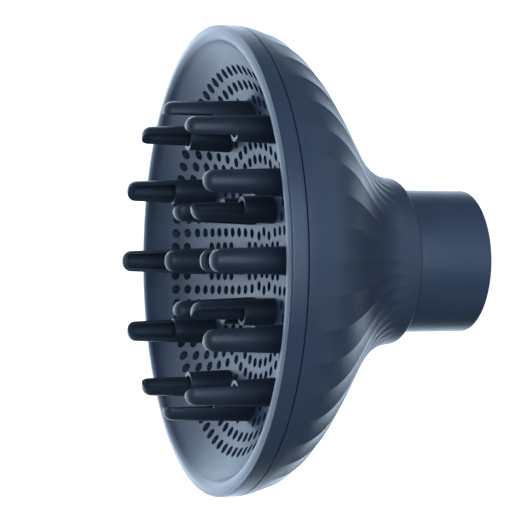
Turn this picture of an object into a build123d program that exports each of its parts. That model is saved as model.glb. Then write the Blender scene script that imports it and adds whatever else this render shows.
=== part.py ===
from build123d import *
from math import cos, sin, pi, radians, hypot, sqrt
import os

# Ring-finger air diffuser for a hair dryer.  Millimetres.  +Z is the axis, towards the fingers.
# The origin is the centre of the neck's mouth, on the plane of its end face.

# ---- driving dimensions -------------------------------------------------------------------
RIM_R = 75.0          # outside radius of the rim band
RIM_Z = 88.7          # nominal height of the rim
SEAM_Z = 83.45        # top edge of the bell, where the rim band starts
SEAM_GAP = 0.35       # open line between bell and band
BELL_WALL = 2.4
FLUTES = 45
FLUTE_DEPTH = 0.068   # sagitta of a flute over its own width
COLLAR_Z = 25.9       # lower end of the collar
NECK_R = 23.5
NECK_BORE_R = 18.3
SHOULDER_Z = 29.7     # step on the neck that carries the head
SPIGOT_R = 22.70      # journal that the head turns on
RUNNING_GAP = 0.06
DISH_T = 2.0          # wall of the perforated dish
DISH_Z0 = 69.85       # dish floor on the axis
FLOOR_R = 227.0       # spherical radius of the dish floor
HOLE_PITCH = 4.7
HOLE_R = 1.55
HOLE_RINGS = 13       # ring k has 6k holes at radius k pitches
PRONG_R = 4.5         # finger radius in its socket
PRONG_TIP_R = 3.5
TIP_ROUND = 3.0       # radius of the edge round a finger's tip
FLANGE_R = 5.2        # foot that holds a finger under its boss
BOSS_R = 5.3
OUTER_RING = 10       # outer fingers stand on this hole ring
INNER_RING = 4        # inner fingers stand on this hole ring
OUTER_TIP_Z = 104.0
INNER_TIP_Z = 97.6
OUTER_STEP_Z = 88.2   # shoulder of an outer finger's scoop
INNER_STEP_Z = 81.0   # shoulder of an inner finger's scoop
CUT_OFFSET = 0.45     # the scoop's cut plane lies this far past the finger's axis
OUTLET_R = (3.3, 2.35)    # bore radius at the finger's foot and at its tip
SCREW_RING = 67.4     # six screws hold the dish, the band and the heat shield together
SHIELD_TOP = 79.2     # heat shield's flange: top face and its seat for the screw heads
SHIELD_SEAT = 77.8
MAGNETS = 8

# The bell's meridian: height, radius over the ridges, and how deep the flutes are there (0 to 1).
BELL = [
    (83.45, 75.00, 0.00), (80.8, 74.70, 0.03), (77.5, 73.90, 0.22), (74.3, 72.85, 0.50),
    (71.2, 71.20, 0.78), (68.0, 68.80, 0.95), (64.8, 65.75, 1.00), (61.6, 62.10, 1.00),
    (58.4, 58.00, 1.00), (55.2, 53.50, 1.00), (52.0, 48.85, 1.00), (48.8, 44.25, 1.00),
    (45.6, 39.85, 1.00), (42.5, 36.00, 1.00), (39.4, 32.85, 0.95), (36.4, 30.45, 0.75),
    (33.8, 29.00, 0.40), (31.5, 28.10, 0.00),
]


def ring(outline):
    """Solid of revolution about Z from a closed outline of (radius, height) points."""
    return revolve(Plane.XZ * Face(Polyline(*outline, close=True).wire()), Axis.Z)


def ring_of(*edges):
    """Solid of revolution about Z from lines and arcs drawn as (radius, height)."""
    return revolve(Plane.XZ * Face(Wire(list(edges))), Axis.Z)


def tube(r_in, r_out, z_low, z_high):
    return ring([(r_in, z_low), (r_out, z_low), (r_out, z_high), (r_in, z_high)])


def post(radius, height):
    """Upright cylinder that stands on its origin."""
    return Cylinder(radius, height, align=(Align.CENTER, Align.CENTER, Align.MIN))


def rz(r, z):
    return (r, z)


def at(angle, radius, z=0.0):
    return (radius * cos(radians(angle)), radius * sin(radians(angle)), z)


def inward(points, depth):
    """Points moved square to a (radius, height) curve that runs downwards, towards the axis."""
    moved = []
    for i, (r, z) in enumerate(points):
        r0, z0 = points[max(i - 1, 0)]
        r1, z1 = points[min(i + 1, len(points) - 1)]
        dr, dz = r1 - r0, z1 - z0
        n = hypot(dr, dz)
        moved.append((r + dz / n * depth, z - dr / n * depth))
    return moved


# ---- bell shell: a fluted bell with a rounded collar ----------------------------------------
def fluted_wire(z, r, amount):
    """One level of the bell: shallow concave flutes that meet in sharp ridges."""
    step = 360.0 / FLUTES
    edges = []
    sag = amount * FLUTE_DEPTH * radians(step) * r
    for i in range(FLUTES):
        a = -90.0 + step * i
        edges.append(ThreePointArc(at(a, r, z), at(a + step / 2, r - sag, z), at(a + step, r, z)))
    return Wire(edges)


outside = Solid.make_loft([fluted_wire(*level) for level in BELL], False)
collar = ring_of(
    Line(rz(0, 31.5), rz(28.10, 31.5)),
    Spline(rz(28.10, 31.5), rz(27.62, 28.9), rz(27.50, 27.9), tangents=[(-0.30, -1), (0, -1)]),
    RadiusArc(rz(27.50, 27.9), rz(25.5, COLLAR_Z), 2.0),
    Line(rz(25.5, COLLAR_Z), rz(0, COLLAR_Z)),
    Line(rz(0, COLLAR_Z), rz(0, 31.5)),
)
inner = inward([(r, z) for z, r, a in BELL], BELL_WALL)
inner = [p for p in inner if 39.0 < p[1] < 76.0]
cavity = ring_of(
    Line(rz(0, 84.5), rz(72.0, 84.5)),
    Line(rz(72.0, 84.5), rz(72.0, 78.6)),
    Line(rz(72.0, 78.6), rz(*inner[0])),
    Spline(*[rz(*p) for p in inner]),
    Line(rz(*inner[-1]), rz(27.2, 36.2)),
    Line(rz(27.2, 36.2), rz(25.2, 36.2)),
    Line(rz(25.2, 36.2), rz(25.2, 30.0)),
    Line(rz(25.2, 30.0), rz(NECK_R + 0.3, 30.0)),
    Line(rz(NECK_R + 0.3, 30.0), rz(NECK_R + 0.3, 25.0)),
    Line(rz(NECK_R + 0.3, 25.0), rz(0, 25.0)),
    Line(rz(0, 25.0), rz(0, 84.5)),
)
snap_groove = tube(71.5, 72.4, 80.7, 82.1)
bell_shell = outside + collar - cavity - snap_groove

# ---- rim band: the smooth ring between the bell and the dish --------------------------------
band_low = SEAM_Z + SEAM_GAP
rim_band = ring_of(
    Line(rz(RIM_R, band_low + 0.2), rz(RIM_R, 88.1)),
    RadiusArc(rz(RIM_R, 88.1), rz(74.2, 88.9), -0.8),
    Line(rz(74.2, 88.9), rz(74.12, 88.9)),
    Line(rz(74.12, 88.9), rz(74.12, 86.6)),
    Line(rz(74.12, 86.6), rz(73.6, 86.6)),
    Line(rz(73.6, 86.6), rz(73.6, 86.0)),
    Line(rz(73.6, 86.0), rz(72.4, 86.0)),
    Line(rz(72.4, 86.0), rz(72.4, 84.6)),
    Line(rz(72.4, 84.6), rz(70.6, 83.2)),
    Line(rz(70.6, 83.2), rz(70.6, 79.2)),
    Line(rz(70.6, 79.2), rz(71.95, 79.2)),
    Line(rz(71.95, 79.2), rz(71.95, 80.9)),
    Line(rz(71.95, 80.9), rz(72.3, 81.3)),
    Line(rz(72.3, 81.3), rz(72.3, 81.6)),
    Line(rz(72.3, 81.6), rz(71.95, 82.0)),
    Line(rz(71.95, 82.0), rz(71.95, SEAM_Z)),
    Line(rz(71.95, SEAM_Z), rz(73.2, SEAM_Z)),
    Line(rz(73.2, SEAM_Z), rz(73.2, band_low)),
    Line(rz(73.2, band_low), rz(RIM_R - 0.2, band_low)),
    Line(rz(RIM_R - 0.2, band_low), rz(RIM_R, band_low + 0.2)),
)
rim_gasket = tube(72.5, 73.5, 86.0, 86.8)


# ---- front dish: rounded lip, concave wall, perforated floor --------------------------------
def floor_z(r):
    return DISH_Z0 + FLOOR_R - sqrt(FLOOR_R ** 2 - r ** 2)


def floor_under(r):
    return DISH_Z0 + FLOOR_R - sqrt((FLOOR_R + DISH_T) ** 2 - r ** 2)


def arc3(p, q, bulge):
    """Arc from p to q whose middle lies the given distance to the right of the chord."""
    dx, dz = q[0] - p[0], q[1] - p[1]
    n = hypot(dx, dz)
    mid = ((p[0] + q[0]) / 2 + dz / n * bulge, (p[1] + q[1]) / 2 - dx / n * bulge)
    return ThreePointArc(rz(*p), rz(*mid), rz(*q))


r_knee = OUTER_RING * HOLE_PITCH
knee = (r_knee, floor_z(r_knee))
brow = (61.0, 80.9)
crease = (69.6, 87.35)
knee_u = (r_knee + 0.41, floor_under(r_knee + 0.41))
brow_u = (62.1, 79.15)
crease_u = (70.9, 85.75)
dish = ring_of(
    ThreePointArc(rz(0, DISH_Z0), rz(r_knee / 2, floor_z(r_knee / 2)), rz(*knee)),
    arc3(knee, brow, 0.80),
    arc3(brow, crease, 0.30),
    arc3(crease, (71.9, 89.3), -0.42),
    arc3((71.9, 89.3), (74.05, 88.9), -0.10),
    Line(rz(74.05, 88.9), rz(74.05, 86.8)),
    Line(rz(74.05, 86.8), rz(72.3, 86.8)),
    Line(rz(72.3, 86.8), rz(*crease_u)),
    arc3(crease_u, brow_u, -0.30),
    arc3(brow_u, knee_u, -0.80),
    ThreePointArc(rz(*knee_u), rz(r_knee / 2, floor_under(r_knee / 2)), rz(0, DISH_Z0 - DISH_T)),
    Line(rz(0, DISH_Z0 - DISH_T), rz(0, DISH_Z0)),
)

# Finger places: (angle, ring radius, foot of the socket, scoop shoulder, tip, scoop faces inwards)
fingers_outer = [(-90 + 30 * i, OUTER_RING * HOLE_PITCH, 70.5, OUTER_STEP_Z, OUTER_TIP_Z, True)
                 for i in range(12)]
fingers_inner = [(-90 + 60 * i, INNER_RING * HOLE_PITCH, 66.6, INNER_STEP_Z, INNER_TIP_Z, False)
                 for i in range(6)]
fingers = fingers_outer + fingers_inner

bosses = []
for angle, radius, foot, _, _, _ in fingers:
    bosses.append(Pos(*at(angle, radius, foot)) * post(BOSS_R, 6.0))
screw_angles = [60 * i for i in range(6)]
for angle in screw_angles:
    bosses.append(Pos(*at(angle, SCREW_RING, SHIELD_TOP)) * post(2.4, 6.0))
bosses.append(Pos(0, 0, 64.0) * post(2.9, 6.0))
below_face = Pos(0, 0, -0.5) * ring_of(
    ThreePointArc(rz(0, DISH_Z0), rz(r_knee / 2, floor_z(r_knee / 2)), rz(*knee)),
    arc3(knee, brow, 0.80),
    arc3(brow, (70.6, 88.3), 0.30),
    Line(rz(70.6, 88.3), rz(70.6, 60)),
    Line(rz(70.6, 60), rz(0, 60)),
    Line(rz(0, 60), rz(0, DISH_Z0)),
)
dish = dish + [boss & below_face for boss in bosses]

holes = []
for k in range(1, HOLE_RINGS + 1):
    for j in range(6 * k):
        x, y, _ = at(-90 + 60.0 * j / k, k * HOLE_PITCH)
        clear = all(hypot(x - at(f[0], f[1])[0], y - at(f[0], f[1])[1]) > 6.7 for f in fingers)
        if clear:
            holes.append(Pos(x, y, 60) * Circle(HOLE_R))
print("air holes", len(holes))
drills = [extrude(h, 30) for h in holes]
for angle, radius, foot, _, _, _ in fingers:
    drills.append(Pos(*at(angle, radius, 60)) * Cylinder(PRONG_R + 0.03, 40))
for angle in screw_angles:
    drills.append(Pos(*at(angle, SCREW_RING, 78)) * post(1.25, 4.4))
drills.append(Pos(0, 0, 63) * post(1.0, 4.2))
front_dish = dish - drills


# ---- fingers: hollow tapered pins, half cut away above the shoulder --------------------------
def finger(foot, base, shoulder, tip):
    low = foot - 1.2
    t = PRONG_TIP_R
    skin = ring_of(
        Line(rz(0, low), rz(FLANGE_R, low)),
        Line(rz(FLANGE_R, low), rz(FLANGE_R, foot)),
        Line(rz(FLANGE_R, foot), rz(PRONG_R, foot)),
        Line(rz(PRONG_R, foot), rz(PRONG_R, base)),
        Line(rz(PRONG_R, base), rz(t, tip - TIP_ROUND)),
        RadiusArc(rz(t, tip - TIP_ROUND), rz(t - TIP_ROUND, tip), -TIP_ROUND),
        Line(rz(t - TIP_ROUND, tip), rz(0, tip)),
        Line(rz(0, tip), rz(0, low)),
    )
    r0, r1 = OUTLET_R
    end = tip - 1.75
    bore = ring_of(
        Line(rz(0, low - 1), rz(r0, low - 1)),
        Line(rz(r0, low - 1), rz(r0, base)),
        Line(rz(r0, base), rz(r1, end - 1.2)),
        RadiusArc(rz(r1, end - 1.2), rz(r1 - 1.2, end), -1.2),
        Line(rz(r1 - 1.2, end), rz(0, end)),
        Line(rz(0, end), rz(0, low - 1)),
    )
    body = skin - Pos(CUT_OFFSET + 10, 0, shoulder + 20) * Box(20, 20, 40)
    rims = [e for e in body.edges() if abs(e.center().Z - shoulder) < 0.01 and e.geom_type == GeomType.CIRCLE]
    body = fillet(rims, 0.45)
    return body - bore


for k, (prefix, group) in enumerate((("outer_prong", fingers_outer), ("inner_prong", fingers_inner))):
    angle, radius, foot, shoulder, tip, faces_in = group[0]
    one = finger(foot, floor_z(radius) + 1.2, shoulder, tip)
    if k == 0:
        outer_one = one
    else:
        inner_one = one

prongs = {}
for name, one, group in (("outer_prong", outer_one, fingers_outer), ("inner_prong", inner_one, fingers_inner)):
    for i, (angle, radius, _, _, _, faces_in) in enumerate(group):
        turn = angle + (180 if faces_in else 0)
        prongs["%s_%02d" % (name, i + 1)] = Pos(*at(angle, radius)) * Rot(0, 0, turn) * one

# ---- neck: outer sleeve with the journal, air liner, magnets --------------------------------
neck_sleeve = ring_of(
    Line(rz(21.4, 0), rz(NECK_R - 0.9, 0)),
    RadiusArc(rz(NECK_R - 0.9, 0), rz(NECK_R, 0.9), -0.9),
    Line(rz(NECK_R, 0.9), rz(NECK_R, SHOULDER_Z)),
    Line(rz(NECK_R, SHOULDER_Z), rz(SPIGOT_R, SHOULDER_Z)),
    Line(rz(SPIGOT_R, SHOULDER_Z), rz(SPIGOT_R, 36.4)),
    Line(rz(SPIGOT_R, 36.4), rz(22.1, 36.4)),
    Line(rz(22.1, 36.4), rz(22.1, 37.5)),
    Line(rz(22.1, 37.5), rz(SPIGOT_R, 37.5)),
    Line(rz(SPIGOT_R, 37.5), rz(SPIGOT_R, 38.6)),
    Line(rz(SPIGOT_R, 38.6), rz(22.3, 39.0)),
    Line(rz(22.3, 39.0), rz(21.4, 39.0)),
    Line(rz(21.4, 39.0), rz(21.4, 0)),
)
neck_liner = ring([
    (NECK_BORE_R + 0.8, 0), (21.38, 0), (21.38, 1.5), (19.5, 1.5), (19.5, 43.0),
    (NECK_BORE_R, 43.0), (NECK_BORE_R, 0.8),
])
holder = tube(19.53, 21.36, 1.52, 9.5)
pockets, magnet_blocks = [], []
for i in range(MAGNETS):
    spot = Rot(0, 0, 360.0 / MAGNETS * i) * Pos(20.5, 0, 5.5)
    pockets.append(spot * Box(1.2, 6.0, 6.0))
    magnet_blocks.append(spot * Box(1.14, 5.94, 5.94))
magnet_holder = holder - pockets
magnets = Compound(children=[m for m in magnet_blocks])

# ---- bearing and clip that let the head turn on the neck -------------------------------------
bearing_ring = tube(SPIGOT_R + RUNNING_GAP, 25.18, 30.0, 36.0)
clip_gap = Pos(0, 24, 36.95) * Box(5.0, 6, 3)
retaining_clip = tube(22.13, 25.0, 36.45, 37.45) - clip_gap

# ---- heat shield: a thin cone inside the bell that carries the air and keeps the bell cool -----
shield_line = inward([(r, z) for z, r, a in BELL], 5.4)
shield_line = [p for p in shield_line if 46.0 < p[1] < 70.0]
shield_in = inward(shield_line, 1.3)
heat_shield = ring_of(
    Line(rz(63.1, SHIELD_TOP), rz(71.2, SHIELD_TOP)),
    Line(rz(71.2, SHIELD_TOP), rz(71.2, SHIELD_SEAT)),
    Line(rz(71.2, SHIELD_SEAT), rz(64.4, SHIELD_SEAT)),
    Line(rz(64.4, SHIELD_SEAT), rz(64.4, 72.6)),
    Line(rz(64.4, 72.6), rz(*shield_line[0])),
    Spline(*[rz(*p) for p in shield_line]),
    Line(rz(*shield_line[-1]), rz(21.6, 43.0)),
    Line(rz(21.6, 43.0), rz(21.6, 40.6)),
    Line(rz(21.6, 40.6), rz(20.3, 40.6)),
    Line(rz(20.3, 40.6), rz(20.3, 43.6)),
    Line(rz(20.3, 43.6), rz(*shield_in[-1])),
    Spline(*[rz(*p) for p in reversed(shield_in)]),
    Line(rz(*shield_in[0]), rz(63.1, 73.0)),
    Line(rz(63.1, 73.0), rz(63.1, SHIELD_TOP)),
)
clearance = [Pos(*at(a, SCREW_RING, 78.5)) * Cylinder(1.6, 4) for a in screw_angles]
heat_shield = heat_shield - clearance


def screw(head_r, head_h, shank_r, length):
    """Pan-head self-tapping screw that points up: its head's seat is at z = 0."""
    body = post(shank_r, length)
    head = Pos(0, 0, -head_h) * post(head_r, head_h)
    head = fillet(head.edges().group_by(Axis.Z)[0], 0.35)
    slots = [Pos(0, 0, -head_h) * Rot(0, 0, a) * Box(head_r * 1.2, 0.5, 1.4) for a in (0, 90)]
    return body + head - slots


dish_screws = Compound(children=[Pos(*at(a, SCREW_RING, SHIELD_SEAT)) * screw(2.6, 1.6, 1.22, 4.4)
                                 for a in screw_angles])

# ---- spreader: a shallow cone under the dish that turns the air outwards ----------------------
spreader = ring_of(
    Line(rz(0, 64.0), rz(3.4, 64.0)),
    Line(rz(3.4, 64.0), rz(3.4, 61.4)),
    Line(rz(3.4, 61.4), rz(15.4, 63.4)),
    RadiusArc(rz(15.4, 63.4), rz(15.6, 62.1), -0.7),
    Spline(rz(15.6, 62.1), rz(8.5, 58.4), rz(3.4, 56.6), tangents=[(-0.9, -0.35), (-1, -0.2)]),
    Line(rz(3.4, 56.6), rz(0, 56.6)),
    Line(rz(0, 56.6), rz(0, 64.0)),
)
spreader = spreader - Pos(0, 0, 60.5) * Cylinder(1.15, 10) - Pos(0, 0, 57.6) * Cylinder(2.5, 3.0)
spreader_screw = Pos(0, 0, 59.1) * screw(2.2, 1.4, 0.97, 7.4)

nodes = {
    "bell_shell": bell_shell, "rim_band": rim_band, "rim_gasket": rim_gasket,
    "front_dish": front_dish, "neck_sleeve": neck_sleeve, "neck_liner": neck_liner,
    "magnet_holder": magnet_holder, "magnets": magnets, "bearing_ring": bearing_ring,
    "retaining_clip": retaining_clip, "heat_shield": heat_shield, "dish_screws": dish_screws,
    "air_spreader": spreader, "spreader_screw": spreader_screw,
}
nodes.update(prongs)
os.makedirs("parts", exist_ok=True)
for name, part in nodes.items():
    export_step(part, "parts/%s.step" % name, write_pcurves=False)
    box = part.bounding_box()
    print(name, "volume %.0f" % part.volume, "z %.2f to %.2f" % (box.min.Z, box.max.Z))
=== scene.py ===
# %% [markdown]
# # A ring-finger diffuser for a hair dryer
# The real object is a bell of matte navy plastic that pushes onto a dryer's nozzle.  Air leaves
# through a perforated dish and through hollow fingers that lift the roots of the hair.
# This lesson loads the engineered frame first, because every visible piece has to sit exactly
# where the frame says, and then dresses it piece by piece.

# %% Load the frame
import math
import bpy
import bmesh
from mathutils import Matrix, Vector


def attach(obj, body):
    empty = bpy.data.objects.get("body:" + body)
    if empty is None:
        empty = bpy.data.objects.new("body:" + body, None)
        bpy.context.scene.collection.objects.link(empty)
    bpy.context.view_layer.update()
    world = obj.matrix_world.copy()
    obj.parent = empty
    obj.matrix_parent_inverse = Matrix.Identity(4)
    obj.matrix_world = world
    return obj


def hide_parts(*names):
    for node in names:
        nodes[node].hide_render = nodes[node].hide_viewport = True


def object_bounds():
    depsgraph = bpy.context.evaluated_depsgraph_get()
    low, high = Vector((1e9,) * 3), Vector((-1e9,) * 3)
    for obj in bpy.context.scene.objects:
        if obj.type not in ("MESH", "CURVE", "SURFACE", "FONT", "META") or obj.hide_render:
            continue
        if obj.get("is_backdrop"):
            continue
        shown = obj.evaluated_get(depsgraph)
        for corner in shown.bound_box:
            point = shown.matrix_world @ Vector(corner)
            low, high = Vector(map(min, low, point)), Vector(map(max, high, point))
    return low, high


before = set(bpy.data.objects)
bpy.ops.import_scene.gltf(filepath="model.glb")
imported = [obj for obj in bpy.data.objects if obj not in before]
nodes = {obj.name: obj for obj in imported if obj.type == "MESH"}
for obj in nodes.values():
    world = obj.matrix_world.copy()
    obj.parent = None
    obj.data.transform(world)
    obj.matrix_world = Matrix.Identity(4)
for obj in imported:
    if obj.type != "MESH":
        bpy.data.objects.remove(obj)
cad_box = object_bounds()
MM = 0.001

# %% [markdown]
# ## The main sizes
# The numbers that several pieces share are named once.  They are the maker's own driving
# sizes: the ring of the rim, the pitch of the air holes and the lengths of the fingers.

# %% Sizes, in millimetres
FLUTES = 45
FLUTE_DEPTH = 0.068          # sagitta of a flute over its width
PITCH = 4.7                  # step from one ring of air holes to the next
HOLE_R = 1.55
HOLE_RINGS = 13
OUTER_RING, INNER_RING = 10, 4        # the hole rings that the fingers stand on
OUTER_COUNT, INNER_COUNT = 12, 6      # how many fingers stand on each
OUTER_R, INNER_R = OUTER_RING * PITCH, INNER_RING * PITCH
DISH_Z0 = 69.85              # height of the dish floor at its centre
FLOOR_R = 227.0              # the floor is part of a sphere of this radius
DISH_WALL = 2.0
BELL_WALL = 2.4
SEAM_Z = 83.45               # where the bell ends and the rim band begins
# The bell's outline: height, radius over the ridges, depth of the flutes from 0 to 1.
BELL = [
    (83.45, 75.00, 0.00), (80.8, 74.70, 0.03), (77.5, 73.90, 0.22), (74.3, 72.85, 0.50),
    (71.2, 71.20, 0.78), (68.0, 68.80, 0.95), (64.8, 65.75, 1.00), (61.6, 62.10, 1.00),
    (58.4, 58.00, 1.00), (55.2, 53.50, 1.00), (52.0, 48.85, 1.00), (48.8, 44.25, 1.00),
    (45.6, 39.85, 1.00), (42.5, 36.00, 1.00), (39.4, 32.85, 0.95), (36.4, 30.45, 0.75),
    (33.8, 29.00, 0.40), (31.5, 28.10, 0.00),
]
print("rim diameter", 2 * BELL[0][1], "mm; flutes", FLUTES)

# %% [markdown]
# ## The camera
# The object is looked at from the side and a little from the front, with its axis lying across
# the view.  The camera therefore rolls by a right angle: its up is the row's +X.  A long lens
# from half a metre away is used, as a maker of small goods would, because a short one would
# stretch the near rim.

# %% Camera
TILT = math.radians(19.985)          # how far the camera looks round onto the dish
STAND = Vector((-1.294, -576.86, 279.49)) * MM
cam = bpy.data.objects.new("camera", bpy.data.cameras.new("camera"))
bpy.context.scene.collection.objects.link(cam)
right = Vector((0, -math.sin(TILT), -math.cos(TILT)))
up = Vector((1, 0, 0))
ahead = Vector((0, math.cos(TILT), -math.sin(TILT)))
turn = Matrix((right, up, -ahead)).transposed().to_4x4()
cam.matrix_world = Matrix.Translation(STAND) @ turn
cam.data.lens, cam.data.sensor_width = 129.36, 36.0
cam.data.clip_start, cam.data.clip_end = 0.01, 50.0
bpy.context.scene.camera = cam
print("camera", [round(v, 4) for v in cam.matrix_world.translation])

# %% [markdown]
# ## A moulded plastic
# The shell is injection-moulded and satin.  Close up, such plastic has a fine spark-eroded grain
# and a slow mottling of the gloss where the melt cooled unevenly.  Both could be painted as
# images, but noises on Object coordinates need no unwrapping and keep their true size.  The
# grain is a bump, and the same noises nudge the colour and the roughness.  A Bevel node rounds
# the shading of the last tenth of a millimetre of each edge.

# %% Helper: a small node writer
def node(tree, kind, inputs=None, **settings):
    """Adds a node, sets it up, and returns it. Input values may be constants or other sockets."""
    made = tree.nodes.new(kind)
    for key, value in settings.items():
        setattr(made, key, value)
    for key, value in (inputs or {}).items():
        if isinstance(value, bpy.types.NodeSocket):
            tree.links.new(value, made.inputs[key])
        else:
            made.inputs[key].default_value = value
    return made


def math_node(tree, operation, *values):
    made = tree.nodes.new("ShaderNodeMath")
    made.operation = operation
    for socket, value in zip(made.inputs, values):
        if isinstance(value, bpy.types.NodeSocket):
            tree.links.new(value, socket)
        else:
            socket.default_value = value
    return made.outputs[0]


print("helpers ready")


# %% Finish: moulded plastic
PLASTIC_IOR = 1.49
EDGE_ROUND = 0.12 * MM       # radius that the shading gives to every hard edge
GRAIN_HEIGHT = 0.06 * MM     # height of the grain at full strength
MOTTLE_SCALE = 38.0          # cloudy patches to the metre
GRAIN_SHARE = 0.45           # part that the grain has in the colour; the mottling has the rest


def moulded(name, shade, light, rough, grain=0.25, grain_scale=2600.0):
    """Satin moulded plastic: two close shades, a fine grain and uneven gloss."""
    skin = bpy.data.materials.new(name)
    skin.use_nodes = True
    tree = skin.node_tree
    shader = tree.nodes["Principled BSDF"]
    place = node(tree, "ShaderNodeTexCoord").outputs["Object"]
    fine = node(tree, "ShaderNodeTexNoise", {"Vector": place, "Scale": grain_scale, "Detail": 3.0,
                                             "Roughness": 0.65}).outputs[0]
    pits = node(tree, "ShaderNodeTexVoronoi", {"Vector": place, "Scale": grain_scale * 0.8},
                feature="SMOOTH_F1").outputs["Distance"]
    slow = node(tree, "ShaderNodeTexNoise", {"Vector": place, "Scale": MOTTLE_SCALE,
                                             "Detail": 4.0}).outputs[0]
    mix = math_node(tree, "MULTIPLY_ADD", fine, GRAIN_SHARE,
                    math_node(tree, "MULTIPLY", slow, 1.0 - GRAIN_SHARE))
    ramp = node(tree, "ShaderNodeValToRGB", {"Fac": mix})
    ramp.color_ramp.elements[0].position, ramp.color_ramp.elements[1].position = 0.32, 0.68
    ramp.color_ramp.elements[0].color = (*shade, 1)
    ramp.color_ramp.elements[1].color = (*light, 1)
    tree.links.new(ramp.outputs["Color"], shader.inputs["Base Color"])
    gloss = node(tree, "ShaderNodeMapRange", {"Value": mix, "From Min": 0.3, "From Max": 0.7,
                                              "To Min": rough - 0.05, "To Max": rough + 0.06})
    tree.links.new(gloss.outputs["Result"], shader.inputs["Roughness"])
    relief = math_node(tree, "MULTIPLY_ADD", pits, 0.5, fine)
    rounded = node(tree, "ShaderNodeBevel", {"Radius": EDGE_ROUND}, samples=4).outputs["Normal"]
    bump = node(tree, "ShaderNodeBump", {"Strength": grain, "Distance": GRAIN_HEIGHT, "Height": relief,
                                         "Normal": rounded})
    tree.links.new(bump.outputs["Normal"], shader.inputs["Normal"])
    shader.inputs["IOR"].default_value = PLASTIC_IOR
    return skin


navy_shell = moulded("navy_shell_satin", (0.037, 0.056, 0.097), (0.061, 0.086, 0.139), 0.38, 1.0, 1800.0)
navy_dish = moulded("navy_dish_matte", (0.042, 0.065, 0.115), (0.062, 0.090, 0.150), 0.40, 0.80, 2000.0)
navy_finger = moulded("navy_finger_soft", (0.021, 0.031, 0.052), (0.036, 0.049, 0.078), 0.46, 1.0, 1900.0)
black_duct = moulded("black_duct", (0.012, 0.014, 0.018), (0.020, 0.022, 0.027), 0.55, 0.35)
print("plastics", [m.name for m in bpy.data.materials if "navy" in m.name or "duct" in m.name])


# %% [markdown]
# ## Metal, rubber and bearing plastic
# The parts inside are hardly seen, but a look up the neck or through the holes finds them.  Steel
# gets fine brushing from a stretched noise, the seal gets a dusty matte black, and the bearing
# ring the waxy off-white of a low-friction plastic.  They keep the frame's own meshes, whose
# shapes are right already, and only change their material slots.

# %% Finishes for the hardware
BRUSH_DEPTH = 0.03 * MM


def metal(name, colour, rough, stretch=(900.0, 900.0, 60.0)):
    """Metal with fine lines along the axis that has the smallest stretch."""
    skin = bpy.data.materials.new(name)
    skin.use_nodes = True
    tree = skin.node_tree
    shader = tree.nodes["Principled BSDF"]
    place = node(tree, "ShaderNodeTexCoord").outputs["Object"]
    grain = node(tree, "ShaderNodeMapping", {"Vector": place, "Scale": stretch}).outputs[0]
    lines = node(tree, "ShaderNodeTexNoise", {"Vector": grain, "Scale": 6.0, "Detail": 3.0}).outputs[0]
    tone = node(tree, "ShaderNodeValToRGB", {"Fac": lines})
    tone.color_ramp.elements[0].color = (*[c * 0.8 for c in colour], 1)
    tone.color_ramp.elements[1].color = (*colour, 1)
    tree.links.new(tone.outputs["Color"], shader.inputs["Base Color"])
    gloss = node(tree, "ShaderNodeMapRange", {"Value": lines, "To Min": rough - 0.06, "To Max": rough + 0.1})
    tree.links.new(gloss.outputs["Result"], shader.inputs["Roughness"])
    bump = node(tree, "ShaderNodeBump", {"Strength": 0.2, "Distance": BRUSH_DEPTH, "Height": lines})
    tree.links.new(bump.outputs["Normal"], shader.inputs["Normal"])
    shader.inputs["Metallic"].default_value = 1.0
    return skin


zinc = metal("zinc_screw", (0.55, 0.56, 0.58), 0.34)
spring = metal("spring_steel", (0.42, 0.40, 0.37), 0.30, (60.0, 60.0, 900.0))
nickel = metal("nickel_magnet", (0.66, 0.64, 0.60), 0.20, (200.0, 200.0, 200.0))
seal = moulded("silicone_seal", (0.010, 0.010, 0.011), (0.022, 0.022, 0.024), 0.72, 0.4, 1500.0)
bearing = moulded("bearing_plastic", (0.62, 0.60, 0.53), (0.72, 0.70, 0.63), 0.30, 0.1)
for name, skin in (("neck_liner", black_duct), ("magnet_holder", black_duct), ("heat_shield", black_duct),
                   ("air_spreader", black_duct), ("bearing_ring", bearing), ("rim_gasket", seal),
                   ("retaining_clip", spring), ("dish_screws", zinc), ("spreader_screw", zinc),
                   ("magnets", nickel)):
    for slot in nodes[name].material_slots:
        slot.material = skin
print("hardware dressed")


# %% [markdown]
# ## Turned shells
# The bell, the band, the dish and the neck are all turned shapes: one outline swept round the
# axis.  A Screw modifier could do that, but not the flutes, so a small tree of Geometry Nodes
# does the turning.  It lays out a flat grid, reads each row's radius and height from an
# outline, and wraps the columns round the axis.  The same tree cuts the bell's flutes: inside
# each flute the radius dips by a shallow parabola, so that two flutes meet in a sharp ridge.

# %% Helper: tree with named inputs
def new_tree(name, sockets):
    tree = bpy.data.node_groups.new(name, "GeometryNodeTree")
    tree.interface.new_socket("Geometry", in_out="INPUT", socket_type="NodeSocketGeometry")
    for label, kind, value in sockets:
        socket = tree.interface.new_socket(label, in_out="INPUT", socket_type="NodeSocket" + kind)
        if value is not None:
            socket.default_value = value
    tree.interface.new_socket("Geometry", in_out="OUTPUT", socket_type="NodeSocketGeometry")
    return tree, tree.nodes.new("NodeGroupInput").outputs, tree.nodes.new("NodeGroupOutput").inputs


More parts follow.
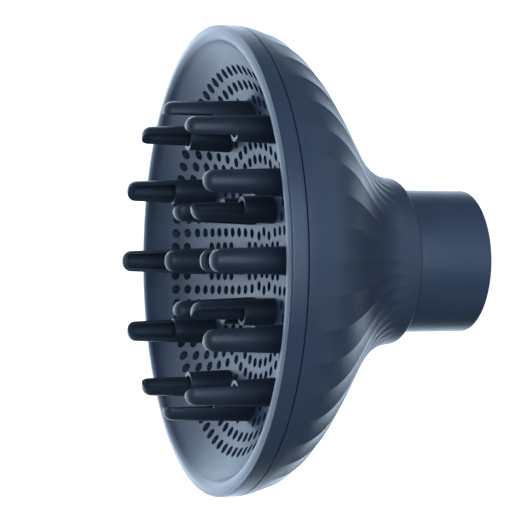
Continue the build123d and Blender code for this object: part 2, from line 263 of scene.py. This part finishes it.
def finish_tree(tree, shape, out, material, sharp_above):
    """Marks edges over an angle as sharp, then realizes and paints, as every tree here ends."""
    angle = node(tree, "GeometryNodeInputMeshEdgeAngle").outputs["Unsigned Angle"]
    keen = node(tree, "FunctionNodeCompare", {0: angle, 1: sharp_above},
                operation="GREATER_THAN").outputs[0]
    faces = node(tree, "GeometryNodeSetShadeSmooth", {"Geometry": shape, "Shade Smooth": True},
                 domain="FACE")
    edges = node(tree, "GeometryNodeSetShadeSmooth",
                 {"Geometry": faces.outputs[0], "Selection": keen, "Shade Smooth": False}, domain="EDGE")
    real = node(tree, "GeometryNodeRealizeInstances", {"Geometry": edges.outputs[0]})
    skin = node(tree, "GeometryNodeSetMaterial", {"Geometry": real.outputs[0], "Material": material})
    tree.links.new(skin.outputs[0], out[0])


def set_inputs(modifier, values):
    """Sets a modifier's inputs by socket identifier."""
    for item in modifier.node_group.interface.items_tree:
        if item.item_type == "SOCKET" and item.in_out == "INPUT" and item.name in values:
            modifier[item.identifier] = values[item.name]


def grow(name, tree, values, start=None):
    """Runs a tree on an object and returns the plain mesh object that comes out."""
    seed = bpy.data.objects.new("seed", start or bpy.data.meshes.new("seed"))
    bpy.context.scene.collection.objects.link(seed)
    modifier = seed.modifiers.new("grow", "NODES")
    modifier.node_group = tree
    set_inputs(modifier, values)
    graph = bpy.context.evaluated_depsgraph_get()
    mesh = bpy.data.meshes.new_from_object(seed.evaluated_get(graph), depsgraph=graph)
    mesh.name = name
    piece = bpy.data.objects.new(name, mesh)
    bpy.context.scene.collection.objects.link(piece)
    bpy.data.objects.remove(seed)
    return piece


def keep_outline(name, points):
    """Stores an outline of (radius, height, flute) in millimetres as a hidden line of vertices."""
    mesh = bpy.data.meshes.new(name)
    mesh.from_pydata([(r * MM, 0.0, z * MM) for r, z, _ in points], [], [])
    layer = mesh.attributes.new("flute", "FLOAT", "POINT")
    for i, point in enumerate(points):
        layer.data[i].value = point[2]
    line = bpy.data.objects.new(name, mesh)
    bpy.context.scene.collection.objects.link(line)
    return line


print("tree helpers ready")

# %% Tree: turned shell
WELD = 2e-6                  # metres; closes the turned grid where its two ends meet
turning, given, out = new_tree("turned_shell", [
    ("Outline", "Object", None), ("Rows", "Int", 2), ("Columns", "Int", 180), ("Flutes", "Int", 1),
    ("Flute depth", "Float", 0.0), ("Sharp above", "Float", 0.5), ("Skin", "Material", None)])
line = node(turning, "GeometryNodeObjectInfo", {"Object": given["Outline"]}).outputs["Geometry"]
around = math_node(turning, "ADD", given["Columns"], 1.0)
flat = node(turning, "GeometryNodeMeshGrid", {"Size X": 1.0, "Size Y": 1.0, "Vertices X": around,
                                              "Vertices Y": given["Rows"]}).outputs["Mesh"]
spot = node(turning, "GeometryNodeInputPosition").outputs[0]
split = node(turning, "ShaderNodeSeparateXYZ", {0: spot}).outputs
share = math_node(turning, "ADD", split[0], 0.5)
last = math_node(turning, "SUBTRACT", given["Rows"], 1.0)
climb = math_node(turning, "ADD", split[1], 0.5)
row = math_node(turning, "ROUND", math_node(turning, "MULTIPLY", climb, last))
place = node(turning, "GeometryNodeSampleIndex", {"Geometry": line, "Value": spot, "Index": row},
             data_type="FLOAT_VECTOR").outputs[0]
fluted = node(turning, "GeometryNodeInputNamedAttribute", {"Name": "flute"}, data_type="FLOAT").outputs[0]
dip = node(turning, "GeometryNodeSampleIndex", {"Geometry": line, "Value": fluted, "Index": row},
           data_type="FLOAT").outputs[0]
radius, _, height = node(turning, "ShaderNodeSeparateXYZ", {0: place}).outputs
part = math_node(turning, "FRACT", math_node(turning, "MULTIPLY", share, given["Flutes"]))
bowl = math_node(turning, "MULTIPLY", math_node(turning, "MULTIPLY", part, 4.0),
                 math_node(turning, "SUBTRACT", 1.0, part))
width = math_node(turning, "DIVIDE", math_node(turning, "MULTIPLY", radius, 2 * math.pi), given["Flutes"])
sag = math_node(turning, "MULTIPLY", math_node(turning, "MULTIPLY", width, given["Flute depth"]), dip)
reach = math_node(turning, "SUBTRACT", radius, math_node(turning, "MULTIPLY", sag, bowl))
angle = math_node(turning, "MULTIPLY_ADD", share, 2 * math.pi, -math.pi / 2)
wrapped = node(turning, "ShaderNodeCombineXYZ", {
    "X": math_node(turning, "MULTIPLY", reach, math_node(turning, "COSINE", angle)),
    "Y": math_node(turning, "MULTIPLY", reach, math_node(turning, "SINE", angle)),
    "Z": height}).outputs[0]
bent = node(turning, "GeometryNodeSetPosition", {"Geometry": flat, "Position": wrapped}).outputs[0]
joined = node(turning, "GeometryNodeMergeByDistance", {"Geometry": bent,
                                                       "Distance": WELD}).outputs[0]
finish_tree(turning, joined, out, given["Skin"], given["Sharp above"])
print("turning tree", len(turning.nodes), "nodes")


# %% [markdown]
# ## Outlines
# A turned piece is only as smooth as its outline, so curves are sampled finely.  The outline
# could be drawn with Bezier handles.  A Catmull-Rom curve is used, because it needs none and
# goes through every given point, and points are what a maker measures.

# %% Helpers: curves in the (radius, height) plane
SAME_SPOT = 0.004            # millimetres; outline points nearer than this count as one


def through(points, steps=5):
    """Catmull-Rom samples through the points, whatever numbers each point carries."""
    ends = [points[0]] + list(points) + [points[-1]]
    made = []
    for a, b, c, d in zip(ends, ends[1:], ends[2:], ends[3:]):
        for i in range(steps):
            t = i / steps
            made.append(tuple(0.5 * (2 * q + (s - p) * t + (2 * p - 5 * q + 4 * s - w) * t * t
                                     + (3 * q - p - 3 * s + w) * t ** 3)
                              for p, q, s, w in zip(a, b, c, d)))
    return made + [points[-1]]


def arc(centre, radius, start, stop, steps=12):
    """Points on an arc; angles in degrees, 0 outwards and 90 upwards."""
    return [(centre[0] + radius * math.cos(math.radians(start + (stop - start) * i / steps)),
             centre[1] + radius * math.sin(math.radians(start + (stop - start) * i / steps)))
            for i in range(steps + 1)]


def bulged(p, q, bulge, steps=12):
    """Arc from p to q whose middle lies the given distance to the right of the chord."""
    dx, dz = q[0] - p[0], q[1] - p[1]
    length = math.hypot(dx, dz)
    return [(p[0] + dx * t + dz / length * bulge * 4 * t * (1 - t),
             p[1] + dz * t - dx / length * bulge * 4 * t * (1 - t))
            for t in [i / steps for i in range(steps + 1)]]


def plain(points):
    """Gives points a third number that says they have no flute."""
    return [(r, z, 0.0) for r, z in points]


print("curve helpers ready")


# %% Helpers: from an outline to a piece
def tidy_outline(points):
    """Drops repeats and makes the outline run up its outer side, so that faces look outwards."""
    kept = [points[0]]
    for p in points[1:]:
        if math.dist(p[:2], kept[-1][:2]) > SAME_SPOT:
            kept.append(p)
    area = sum(p[0] * q[1] - q[0] * p[1] for p, q in zip(kept, kept[1:] + kept[:1]))
    return kept if area > 0 else kept[::-1]


def turned(name, outline, skin, columns=240, flutes=1, depth=0.0, sharp=30.0):
    """Turns an outline into a finished closed piece."""
    outline = tidy_outline(outline)
    line = keep_outline(name + "_outline", outline)
    piece = grow(name, turning, {"Outline": line, "Rows": len(outline), "Columns": columns,
                                 "Flutes": flutes, "Flute depth": depth,
                                 "Sharp above": math.radians(sharp), "Skin": skin})
    bpy.data.objects.remove(line)
    return piece


def report(piece):
    """Prints a piece's triangles and whether it is closed. A positive volume: faces look outwards."""
    work = bmesh.new()
    work.from_mesh(piece.data)
    open_edges = sum(1 for e in work.edges if len(e.link_faces) != 2)
    volume = work.calc_volume(signed=True)
    faces = sum(len(f.verts) - 2 for f in work.faces)
    work.free()
    print(piece.name, "triangles", faces, "open edges", open_edges, "volume mm3 %.0f" % (volume * 1e9))


print("outline helpers ready")

# %% [markdown]
# ## The bell
# On the real part the flutes start shallow below the seam, run deepest over the shoulder and
# die away in the smooth collar.  Forty-five cuts with a round tool could make them, but each
# would leave a ragged end.  Here the outline carries the depth as a third number for each
# point, so they fade cleanly.  The inside of the wall is plain.

# %% Bell
BRIM_ROUND = 0.3
INSIDE_FROM, INSIDE_TO = 39.0, 76.0      # the wall follows the bell between these heights
outer = through([(r, z, a) for z, r, a in BELL], 4)
collar = plain(bulged((28.10, 31.5), (27.50, 27.9), 0.05, 6) + arc((25.5, 27.9), 2.0, 0, -90, 16))
inside = []
for (z0, r0, _), (z1, r1, _), (z2, r2, _) in zip(BELL, BELL[1:], BELL[2:]):
    run = math.hypot(r2 - r0, z2 - z0)
    inside.append((r1 + (z2 - z0) / run * BELL_WALL, z1 - (r2 - r0) / run * BELL_WALL))
inside = [p for p in inside if INSIDE_FROM < p[1] < INSIDE_TO]
inner_wall = plain([(23.8, 25.9), (23.8, 30.0), (25.2, 30.0), (25.2, 36.2), (27.2, 36.2)]
                   + through(inside[::-1], 3) + [(72.0, 78.6), (72.0, SEAM_Z)])
brim = plain(arc((75.0 - BRIM_ROUND, SEAM_Z - BRIM_ROUND), BRIM_ROUND, 90, 3, 6))
bell = turned("bell", brim + [p for p in outer if p[1] < 83.0]
              + collar + inner_wall + [brim[0]], navy_shell,
              columns=FLUTES * 12, flutes=FLUTES, depth=FLUTE_DEPTH, sharp=7.0)
report(bell)
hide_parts("bell_shell")
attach(bell, "head")

# %% [markdown]
# ## The rim band
# A smooth hoop closes the bell.  A fine open line between the two is the only seam that
# shows.  It could be a dark stripe on one piece, but a true gap between two pieces keeps its
# shadow from every side, and both its edges get a tiny rounding that catches the light.

# %% Rim band
band = turned("rim_hoop", plain(
    [(73.2, 83.74)] + arc((74.7, 84.04), 0.3, -90, 0, 6) + [(75.0, 85.0), (75.0, 87.0)]
    + arc((74.2, 88.1), 0.8, 0, 90, 16) + [(74.12, 88.9), (74.12, 86.6), (72.4, 86.0), (72.4, 84.6),
    (70.6, 83.2), (70.6, 79.2), (71.95, 79.2), (71.95, SEAM_Z), (73.2, SEAM_Z), (73.2, 83.74)]),
    navy_shell, columns=300, sharp=25.0)
report(band)
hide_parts("rim_band")
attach(band, "head")


# %% [markdown]
# ## The dish
# The dish is a shallow bowl with a rounded lip.  Its holes follow a simple rule: ring number k
# lies k pitches from the centre and has six times k holes, which keeps all gaps alike.
# Where a finger stands, the nearest holes are left out.  A loop in Python could place them,
# but Geometry Nodes write the rule as arithmetic on the point index, drop the points too near
# a finger and drill the rest, so that a new pitch is one number.

# %% Dish blank
def floor_z(r):
    """Height of the dish floor's upper face at radius r."""
    return DISH_Z0 + FLOOR_R - math.sqrt(FLOOR_R ** 2 - r ** 2)


def under_z(r):
    """Height of the floor's lower face at radius r."""
    return DISH_Z0 + FLOOR_R - math.sqrt((FLOOR_R + DISH_WALL) ** 2 - r ** 2)


knee, brow, crease = (OUTER_R, floor_z(OUTER_R)), (61.0, 80.9), (69.6, 87.35)
crest, lip_end = (71.9, 89.3), (74.08, 88.9)
knee_under, brow_under = (OUTER_R + 0.41, under_z(OUTER_R + 0.41)), (62.1, 79.15)
dish_outline = plain(
    [(OUTER_R * i / 16, floor_z(OUTER_R * i / 16)) for i in range(17)]
    + bulged(knee, brow, 0.80, 8) + bulged(brow, crease, 0.30, 10)[:-1]
    + bulged(crease, crest, -0.42, 14)[2:-1] + bulged(crest, lip_end, -0.10, 10)
    + [(74.08, 86.8), (72.3, 86.8)]
    + bulged((70.9, 85.75), brow_under, -0.30, 6)
    + bulged(brow_under, knee_under, -0.80, 6)
    + [(OUTER_R * i / 12, under_z(OUTER_R * i / 12)) for i in range(11, -1, -1)])
blank = turned("dish_blank", dish_outline, navy_dish, columns=288)
report(blank)

# %% [markdown]
# ### Drilling it
# The cutter is a plain round rod, used once for each hole.  The rods stand on loose points
# whose index is read as a place in the rings: ring k starts at point 3k(k - 1), so k is the
# whole part of (3 + the root of (9 + 12 times the index)) / 6.  Holes closer to a finger than
# the moat are dropped by measuring the distance to two circles of finger places.

# %% Tree: air holes
MOAT = 6.7                   # no hole centre lies nearer to a finger than this
SOCKET_R = 4.45              # a little under the finger's foot, so that no gap shows
HOLE_SIDES, SOCKET_SIDES = 24, 48
DRILL_LENGTH, DRILL_Z = 60.0, 78.0
ROUNDING = 0.001             # keeps the first hole of a ring from falling into the ring before
drilling, given, out = new_tree("air_holes", [
    ("Rings", "Int", HOLE_RINGS), ("Pitch", "Float", PITCH * MM),
    ("Hole radius", "Float", HOLE_R * MM), ("Outer ring", "Int", OUTER_RING),
    ("Inner ring", "Int", INNER_RING), ("Moat", "Float", MOAT * MM),
    ("Socket radius", "Float", SOCKET_R * MM), ("Skin", "Material", None)])


def finger_places(tree, given, ring, count):
    """A circle of finger places on the given hole ring, the first one towards -Y."""
    radius = math_node(tree, "MULTIPLY", given["Pitch"], given[ring])
    circle = node(tree, "GeometryNodeMeshCircle", {"Vertices": count, "Radius": radius}).outputs[0]
    return node(tree, "GeometryNodeTransform", {"Geometry": circle,
                                                "Rotation": (0, 0, -math.pi / 2)}).outputs[0]


stands = node(drilling, "GeometryNodeJoinGeometry")
for ring, count in (("Outer ring", OUTER_COUNT), ("Inner ring", INNER_COUNT)):
    drilling.links.new(finger_places(drilling, given, ring, count), stands.inputs[0])
total = math_node(drilling, "MULTIPLY", math_node(drilling, "MULTIPLY", given["Rings"], 3.0),
                  math_node(drilling, "ADD", given["Rings"], 1.0))
index = node(drilling, "GeometryNodeInputIndex").outputs[0]
root = math_node(drilling, "SQRT", math_node(drilling, "MULTIPLY_ADD", index, 12.0, 9.0))
six_rings = math_node(drilling, "ADD", root, 3.0 + ROUNDING)
ring = math_node(drilling, "FLOOR", math_node(drilling, "DIVIDE", six_rings, 6.0))
first = math_node(drilling, "MULTIPLY", math_node(drilling, "MULTIPLY", ring, 3.0),
                  math_node(drilling, "SUBTRACT", ring, 1.0))
step = math_node(drilling, "DIVIDE", math_node(drilling, "SUBTRACT", index, first), ring)
angle = math_node(drilling, "MULTIPLY_ADD", step, math.pi / 3, -math.pi / 2)
radius = math_node(drilling, "MULTIPLY", ring, given["Pitch"])
spot = node(drilling, "ShaderNodeCombineXYZ", {
    "X": math_node(drilling, "MULTIPLY", radius, math_node(drilling, "COSINE", angle)),
    "Y": math_node(drilling, "MULTIPLY", radius, math_node(drilling, "SINE", angle))}).outputs[0]
spots = node(drilling, "GeometryNodePoints", {"Count": total, "Position": spot}).outputs[0]
print("hole places ready")

# %% Tree: air holes, the cut
gap = node(drilling, "GeometryNodeProximity", {"Geometry": stands.outputs[0]},
           target_element="POINTS")
close = node(drilling, "FunctionNodeCompare", {0: gap.outputs["Distance"], 1: given["Moat"]},
             operation="LESS_THAN").outputs[0]
kept = node(drilling, "GeometryNodeDeleteGeometry",
            {"Geometry": spots, "Selection": close}).outputs[0]
rod = node(drilling, "GeometryNodeMeshCylinder",
           {"Vertices": HOLE_SIDES, "Radius": given["Hole radius"],
            "Depth": DRILL_LENGTH * MM}).outputs[0]
rods = node(drilling, "GeometryNodeInstanceOnPoints", {"Points": kept, "Instance": rod}).outputs[0]
post = node(drilling, "GeometryNodeMeshCylinder",
            {"Vertices": SOCKET_SIDES, "Radius": given["Socket radius"],
             "Depth": DRILL_LENGTH * MM}).outputs[0]
posts = node(drilling, "GeometryNodeInstanceOnPoints",
             {"Points": stands.outputs[0], "Instance": post}).outputs[0]
tools = node(drilling, "GeometryNodeJoinGeometry")
for cutter in (rods, posts):
    drilling.links.new(cutter, tools.inputs[0])
lifted = node(drilling, "GeometryNodeTransform",
              {"Geometry": tools.outputs[0], "Translation": (0, 0, DRILL_Z * MM)}).outputs[0]
solid_tools = node(drilling, "GeometryNodeRealizeInstances", {"Geometry": lifted}).outputs[0]
cut = node(drilling, "GeometryNodeMeshBoolean",
           {"Mesh 1": given["Geometry"], "Mesh 2": solid_tools},
           operation="DIFFERENCE", solver="MANIFOLD").outputs[0]
finish_tree(drilling, cut, out, given["Skin"], math.radians(35))
print("drilling tree", len(drilling.nodes), "nodes")

# %% Dish
dish = grow("dish", drilling, {"Rings": HOLE_RINGS, "Pitch": PITCH * MM, "Hole radius": HOLE_R * MM,
                               "Outer ring": OUTER_RING, "Inner ring": INNER_RING,
                               "Moat": MOAT * MM, "Socket radius": SOCKET_R * MM,
                               "Skin": navy_dish}, blank.data)
bpy.data.objects.remove(blank)
report(dish)
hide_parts("front_dish")
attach(dish, "head")


# %% [markdown]
# ## The fingers
# Each finger is a hollow, slightly tapered pin with a domed tip.  Above a shoulder the side
# that faces the other ring is cut away, so that air leaves along a scoop.  A cone with a box
# taken out of it could make that, but its cut edges would be too uneven to round.  So the pin
# is laid out in levels: every level has vertices round the back, and below the shoulder round
# the front too.  The scoop's lips, its flat end and the shoulder then fall into place between
# the skin and the bore, and a Bevel modifier breaks all the moulded edges at once.

# %% One finger
FLANGE_R, FLANGE_T = 5.2, 1.2         # the foot that is held under the dish
FOOT_R, TIP_R, TIP_ROUND = 4.5, 3.5, 3.0
BORE_FOOT, BORE_TIP, BORE_ROUND = 3.3, 2.35, 1.2
TIP_WALL = 1.75
LIP_AT = 0.45                # the scoop is cut this far past the finger's axis
BACK, FRONT, STEPS = 32, 18, 7        # faces round the back, round the front, over the dome
LOW_LEVELS, TOP_LEVELS = 4, 6         # faces up a side below the shoulder and above it


def finger_mesh(name, foot, base, shoulder, tip):
    """A hollow finger on the axis with its scoop towards +X; all sizes in millimetres."""
    work = bmesh.new()

    def level(radius, z, half, whole):
        angles = [half + (2 * math.pi - 2 * half) * i / BACK for i in range(BACK + 1)]
        if whole:
            angles += [-half + 2 * half * i / FRONT for i in range(1, FRONT)]
        return [work.verts.new((radius * math.cos(a) * MM, radius * math.sin(a) * MM, z * MM))
                for a in angles]

    def bridge(low, high, closed):
        for i in range(len(low) if closed else len(low) - 1):
            j = (i + 1) % len(low)
            work.faces.new((low[i], low[j], high[j], high[i]))

    def line(start, stop, steps):
        return [tuple(p + (q - p) * i / steps for p, q in zip(start, stop)) for i in range(steps + 1)]

    end = tip - TIP_WALL
    skin_foot, skin_top = (FOOT_R, base), (TIP_R, tip - TIP_ROUND)
    bore_foot, bore_top = (BORE_FOOT, base), (BORE_TIP, end - BORE_ROUND)
    sides = []
    for bottom, top in ((skin_foot, skin_top), (bore_foot, bore_top)):
        share = (shoulder - bottom[1]) / (top[1] - bottom[1])
        sides.append((bottom[0] + (top[0] - bottom[0]) * share, shoulder))
    skin_turn, bore_turn = [math.acos(LIP_AT / side[0]) for side in sides]
    low = foot - FLANGE_T
    skin_low = [level(r, z, skin_turn, True) for r, z in
                [(FLANGE_R, low), (FLANGE_R, foot), (FOOT_R, foot)] + line(skin_foot, sides[0], LOW_LEVELS)]
    bore_low = [level(r, z, bore_turn, True) for r, z in
                [(BORE_FOOT, low)] + line(bore_foot, sides[1], LOW_LEVELS)]
    for rings in (skin_low, bore_low):
        for a, b in zip(rings, rings[1:]):
            bridge(a, b, True)
    bridge(skin_low[0], bore_low[0], True)

    dome = arc((TIP_R - TIP_ROUND, tip - TIP_ROUND), TIP_ROUND, 0, 90, 2 * STEPS)[1:-1]
    vault = arc((BORE_TIP - BORE_ROUND, end - BORE_ROUND), BORE_ROUND, 0, 90, STEPS)[1:]
    skin = [skin_low[-1][:BACK + 1]]
    for r, z in line(sides[0], skin_top, TOP_LEVELS)[1:] + dome:
        skin.append(level(r, z, math.acos(min(1.0, LIP_AT / r)), False))
    peak = level(TIP_R - TIP_ROUND, tip, 0.0, False)
    work.verts.remove(peak.pop())
    work.faces.new(peak)
    skin.append(peak + [peak[0]])
    bore = [bore_low[-1][:BACK + 1]]
    for r, z in line(sides[1], bore_top, TOP_LEVELS)[1:] + vault:
        bore.append(level(r, z, math.acos(min(1.0, LIP_AT / r)), False))
    for rings in (skin, bore):
        for a, b in zip(rings, rings[1:]):
            bridge(a, b, False)
    work.faces.new(bore[-1])
    moon = [rings[-1][BACK:] + rings[-1][:1] for rings in (skin_low, bore_low)]
    bridge(moon[0], moon[1], False)
    for side in (0, BACK):
        for i in range(len(bore) - 1):
            work.faces.new((skin[i][side], skin[i + 1][side], bore[i + 1][side], bore[i][side]))
    over = [ring[BACK] for ring in skin[len(bore) - 1:-1]] + [peak[0]]
    back_down = [ring[0] for ring in skin[len(bore) - 1:-1]][::-1]
    work.faces.new([bore[-1][0], bore[-1][BACK]] + over + back_down)
    bmesh.ops.recalc_face_normals(work, faces=work.faces)
    mesh = bpy.data.meshes.new(name)
    work.to_mesh(mesh)
    work.free()
    return mesh


OUTER_FOOT, OUTER_SHOULDER, OUTER_TIP = 70.5, 88.2, 104.0
INNER_FOOT, INNER_SHOULDER, INNER_TIP = 66.6, 81.0, 97.6
TAPER_ABOVE = 1.2            # a finger starts to taper this far above the dish floor
outer_finger = finger_mesh("outer_finger", OUTER_FOOT, floor_z(OUTER_R) + TAPER_ABOVE,
                           OUTER_SHOULDER, OUTER_TIP)
inner_finger = finger_mesh("inner_finger", INNER_FOOT, floor_z(INNER_R) + TAPER_ABOVE,
                           INNER_SHOULDER, INNER_TIP)
print("finger vertices", len(outer_finger.vertices), len(inner_finger.vertices))

# %% [markdown]
# ### Standing the fingers in rings
# Twelve long fingers stand on the tenth hole ring and six shorter ones on the fourth.  The
# scoops of the long ones look inwards and those of the short ones outwards.  An Array modifier
# could turn copies about an empty; instances on a circle need no helper object, and each is
# turned by the angle of its own place.

# %% Tree: ring of fingers
EDGE_ANGLE = math.radians(40)         # a sharper bend than this is an edge
standing, given, out = new_tree("finger_ring", [
    ("Fingers", "Int", OUTER_COUNT), ("Ring radius", "Float", OUTER_R * MM), ("Turn", "Float", math.pi),
    ("Skin", "Material", None)])
circle = node(standing, "GeometryNodeMeshCircle",
              {"Vertices": given["Fingers"], "Radius": given["Ring radius"]}).outputs[0]
stands = node(standing, "GeometryNodeTransform",
              {"Geometry": circle, "Rotation": (0, 0, -math.pi / 2)}).outputs[0]
spot = node(standing, "ShaderNodeSeparateXYZ",
            {0: node(standing, "GeometryNodeInputPosition").outputs[0]}).outputs
facing = math_node(standing, "ADD", math_node(standing, "ARCTAN2", spot[1], spot[0]), given["Turn"])
turned_by = node(standing, "ShaderNodeCombineXYZ", {"Z": facing}).outputs[0]
placed = node(standing, "GeometryNodeInstanceOnPoints", {"Points": stands, "Instance": given["Geometry"],
                                                         "Rotation": turned_by}).outputs[0]
solid = node(standing, "GeometryNodeRealizeInstances", {"Geometry": placed}).outputs[0]
finish_tree(standing, solid, out, given["Skin"], EDGE_ANGLE)
print("standing tree", len(standing.nodes), "nodes")

# %% Both rings of fingers
EDGE_ROUNDING, ROUNDING_STEPS = 0.28, 3


def finger_ring(name, mesh, count, radius, turn, nodes_replaced):
    """Bevels one finger, then stands copies of it in a ring."""
    seed = bpy.data.objects.new("one_finger", mesh)
    bpy.context.scene.collection.objects.link(seed)
    rounding = seed.modifiers.new("rounding", "BEVEL")
    rounding.width, rounding.segments = EDGE_ROUNDING * MM, ROUNDING_STEPS
    rounding.limit_method, rounding.angle_limit = "ANGLE", EDGE_ANGLE
    graph = bpy.context.evaluated_depsgraph_get()
    rounded = bpy.data.meshes.new_from_object(seed.evaluated_get(graph), depsgraph=graph)
    bpy.data.objects.remove(seed)
    piece = grow(name, standing, {"Fingers": count, "Ring radius": radius * MM, "Turn": turn,
                                  "Skin": navy_finger}, rounded)
    report(piece)
    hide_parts(*nodes_replaced)
    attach(piece, "head")


finger_ring("outer_fingers", outer_finger, OUTER_COUNT, OUTER_R, math.pi,
            ["outer_prong_%02d" % (i + 1) for i in range(OUTER_COUNT)])
finger_ring("inner_fingers", inner_finger, INNER_COUNT, INNER_R, 0.0,
            ["inner_prong_%02d" % (i + 1) for i in range(INNER_COUNT)])

# %% [markdown]
# ## The neck
# A plain sleeve pushes over the dryer's nozzle.  Its mouth is rounded so that it starts easily,
# and its upper end is the journal that the bell turns on.  A bevelled cylinder would show the
# same outside, but the turned outline also gives the step and the groove for the clip.

# %% Neck sleeve
journal = [(22.7, 29.7), (22.7, 36.4), (22.1, 36.4), (22.1, 37.5), (22.7, 37.5), (22.7, 38.6)]
sleeve = turned("neck_tube", plain(
    [(21.4, 0.0)] + arc((22.6, 0.9), 0.9, -90, 0, 12)
    + [(23.5, 6.0), (23.5, 14.0), (23.5, 22.0), (23.5, 29.45)] + arc((23.25, 29.45), 0.25, 0, 90, 4)
    + journal + [(22.3, 39.0), (21.4, 39.0), (21.4, 0.0)]), navy_shell, columns=180)
report(sleeve)
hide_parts("neck_sleeve")
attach(sleeve, "neck")

# %% [markdown]
# ## Floor
# A part like this is shown on a white sweep.  That could be a bent sheet, but a wide flat one is
# enough, because its far edge is never seen.  It gives off light of its own, which keeps it
# white.  Rays that leave the object pass it, so that it puts no glare on the plastic.

# %% Floor
floor_mesh = bpy.data.meshes.new("floor")
SPAN = 12.0                  # metres from the middle to an edge
corners = [(-SPAN, -SPAN, 0), (SPAN, -SPAN, 0), (SPAN, SPAN, 0), (-SPAN, SPAN, 0)]
floor_mesh.from_pydata(corners, [], [(0, 1, 2, 3)])
floor = bpy.data.objects.new("floor", floor_mesh)
bpy.context.scene.collection.objects.link(floor)
paper = bpy.data.materials.new("white_paper")
paper.use_nodes = True
paper_shader = paper.node_tree.nodes["Principled BSDF"]
paper_shader.inputs["Base Color"].default_value = (0.8, 0.8, 0.8, 1)
paper_shader.inputs["Roughness"].default_value = 0.9
paper_shader.inputs["Specular IOR Level"].default_value = 0.1
paper_shader.inputs["Emission Color"].default_value = (1, 1, 1, 1)
paper_shader.inputs["Emission Strength"].default_value = 1.0
floor_mesh.materials.append(paper)
floor.visible_diffuse = floor.visible_glossy = False
floor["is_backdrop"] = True
print("floor", 2 * SPAN, "m across")


# %% [markdown]
# ## Light
# Dark plastic shows its shape by what it mirrors.  The room is white behind the object and dim
# on the camera's side, which draws bright edges round a dark middle.  One big lamp could light
# the rest, but the dish would stay black, so five soft ones have a job each: side_plus edges
# the bell, dish_light and bowl_fill reach into the dish, camera_fill keeps the near side
# readable, and waist_fill lights the waist from under the floor, which rays pass.

# %% Lamps
COOL = (0.72, 0.86, 1.0)
AIM = (0.0, 0.0, 0.06)       # metres; the middle of the object


def soft_light(name, place, size, power):
    """A rectangular cool light at a place, turned to the middle of the object."""
    lamp = bpy.data.lights.new(name, "AREA")
    lamp.shape, lamp.size, lamp.size_y = "RECTANGLE", size[0], size[1]
    lamp.energy, lamp.color = power, COOL
    stand = bpy.data.objects.new(name, lamp)
    bpy.context.scene.collection.objects.link(stand)
    stand.location = place
    stand.rotation_euler = (Vector(AIM) - Vector(place)).to_track_quat("-Z", "Y").to_euler()


soft_light("side_plus", (0.45, 0.65, 0.05), (0.6, 0.4), 1.5)
soft_light("dish_light", (0.0, 0.42, 0.83), (1.5, 0.30), 3.6)
soft_light("bowl_fill", (0.10, -0.95, 0.44), (0.5, 0.3), 2.2)
soft_light("waist_fill", (0.20, -0.55, -0.85), (1.6, 1.2), 2.8)
soft_light("camera_fill", (0.16, -1.0, 0.06), (0.8, 0.6), 7.0)

# %% The room
ROOM_COLOUR = (0.67, 0.83, 1.0, 1)
NEAR_TONE, FAR_TONE = 0.12, 4.6       # strength on the camera's side, and behind the object
world = bpy.data.worlds.new("studio")
world.use_nodes = True
sky = world.node_tree
look = node(sky, "ShaderNodeTexCoord").outputs["Generated"]
behind = node(sky, "ShaderNodeVectorMath", {0: look, 1: (0.0, 1.0, 0.0)},
              operation="DOT_PRODUCT").outputs["Value"]
tone = node(sky, "ShaderNodeMapRange", {"Value": behind, "From Min": 0.50, "From Max": 1.0,
                                        "To Min": NEAR_TONE, "To Max": FAR_TONE},
            interpolation_type="SMOOTHSTEP")
backdrop = sky.nodes["Background"]
backdrop.inputs["Color"].default_value = ROOM_COLOUR
sky.links.new(tone.outputs["Result"], backdrop.inputs["Strength"])
bpy.context.scene.world = world
bpy.context.scene.view_settings.view_transform = "Standard"
print("room", NEAR_TONE, "to", FAR_TONE)

# %% [markdown]
# ## The last measure
# Both boxes are printed, so that they can be laid side by side.

# %% Sizes printed, and done
sizes = {"cad": [list(corner) for corner in cad_box],
         "visual": [list(corner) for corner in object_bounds()]}
for name, box in sizes.items():
    print(name, [[round(v, 4) for v in corner] for corner in box])
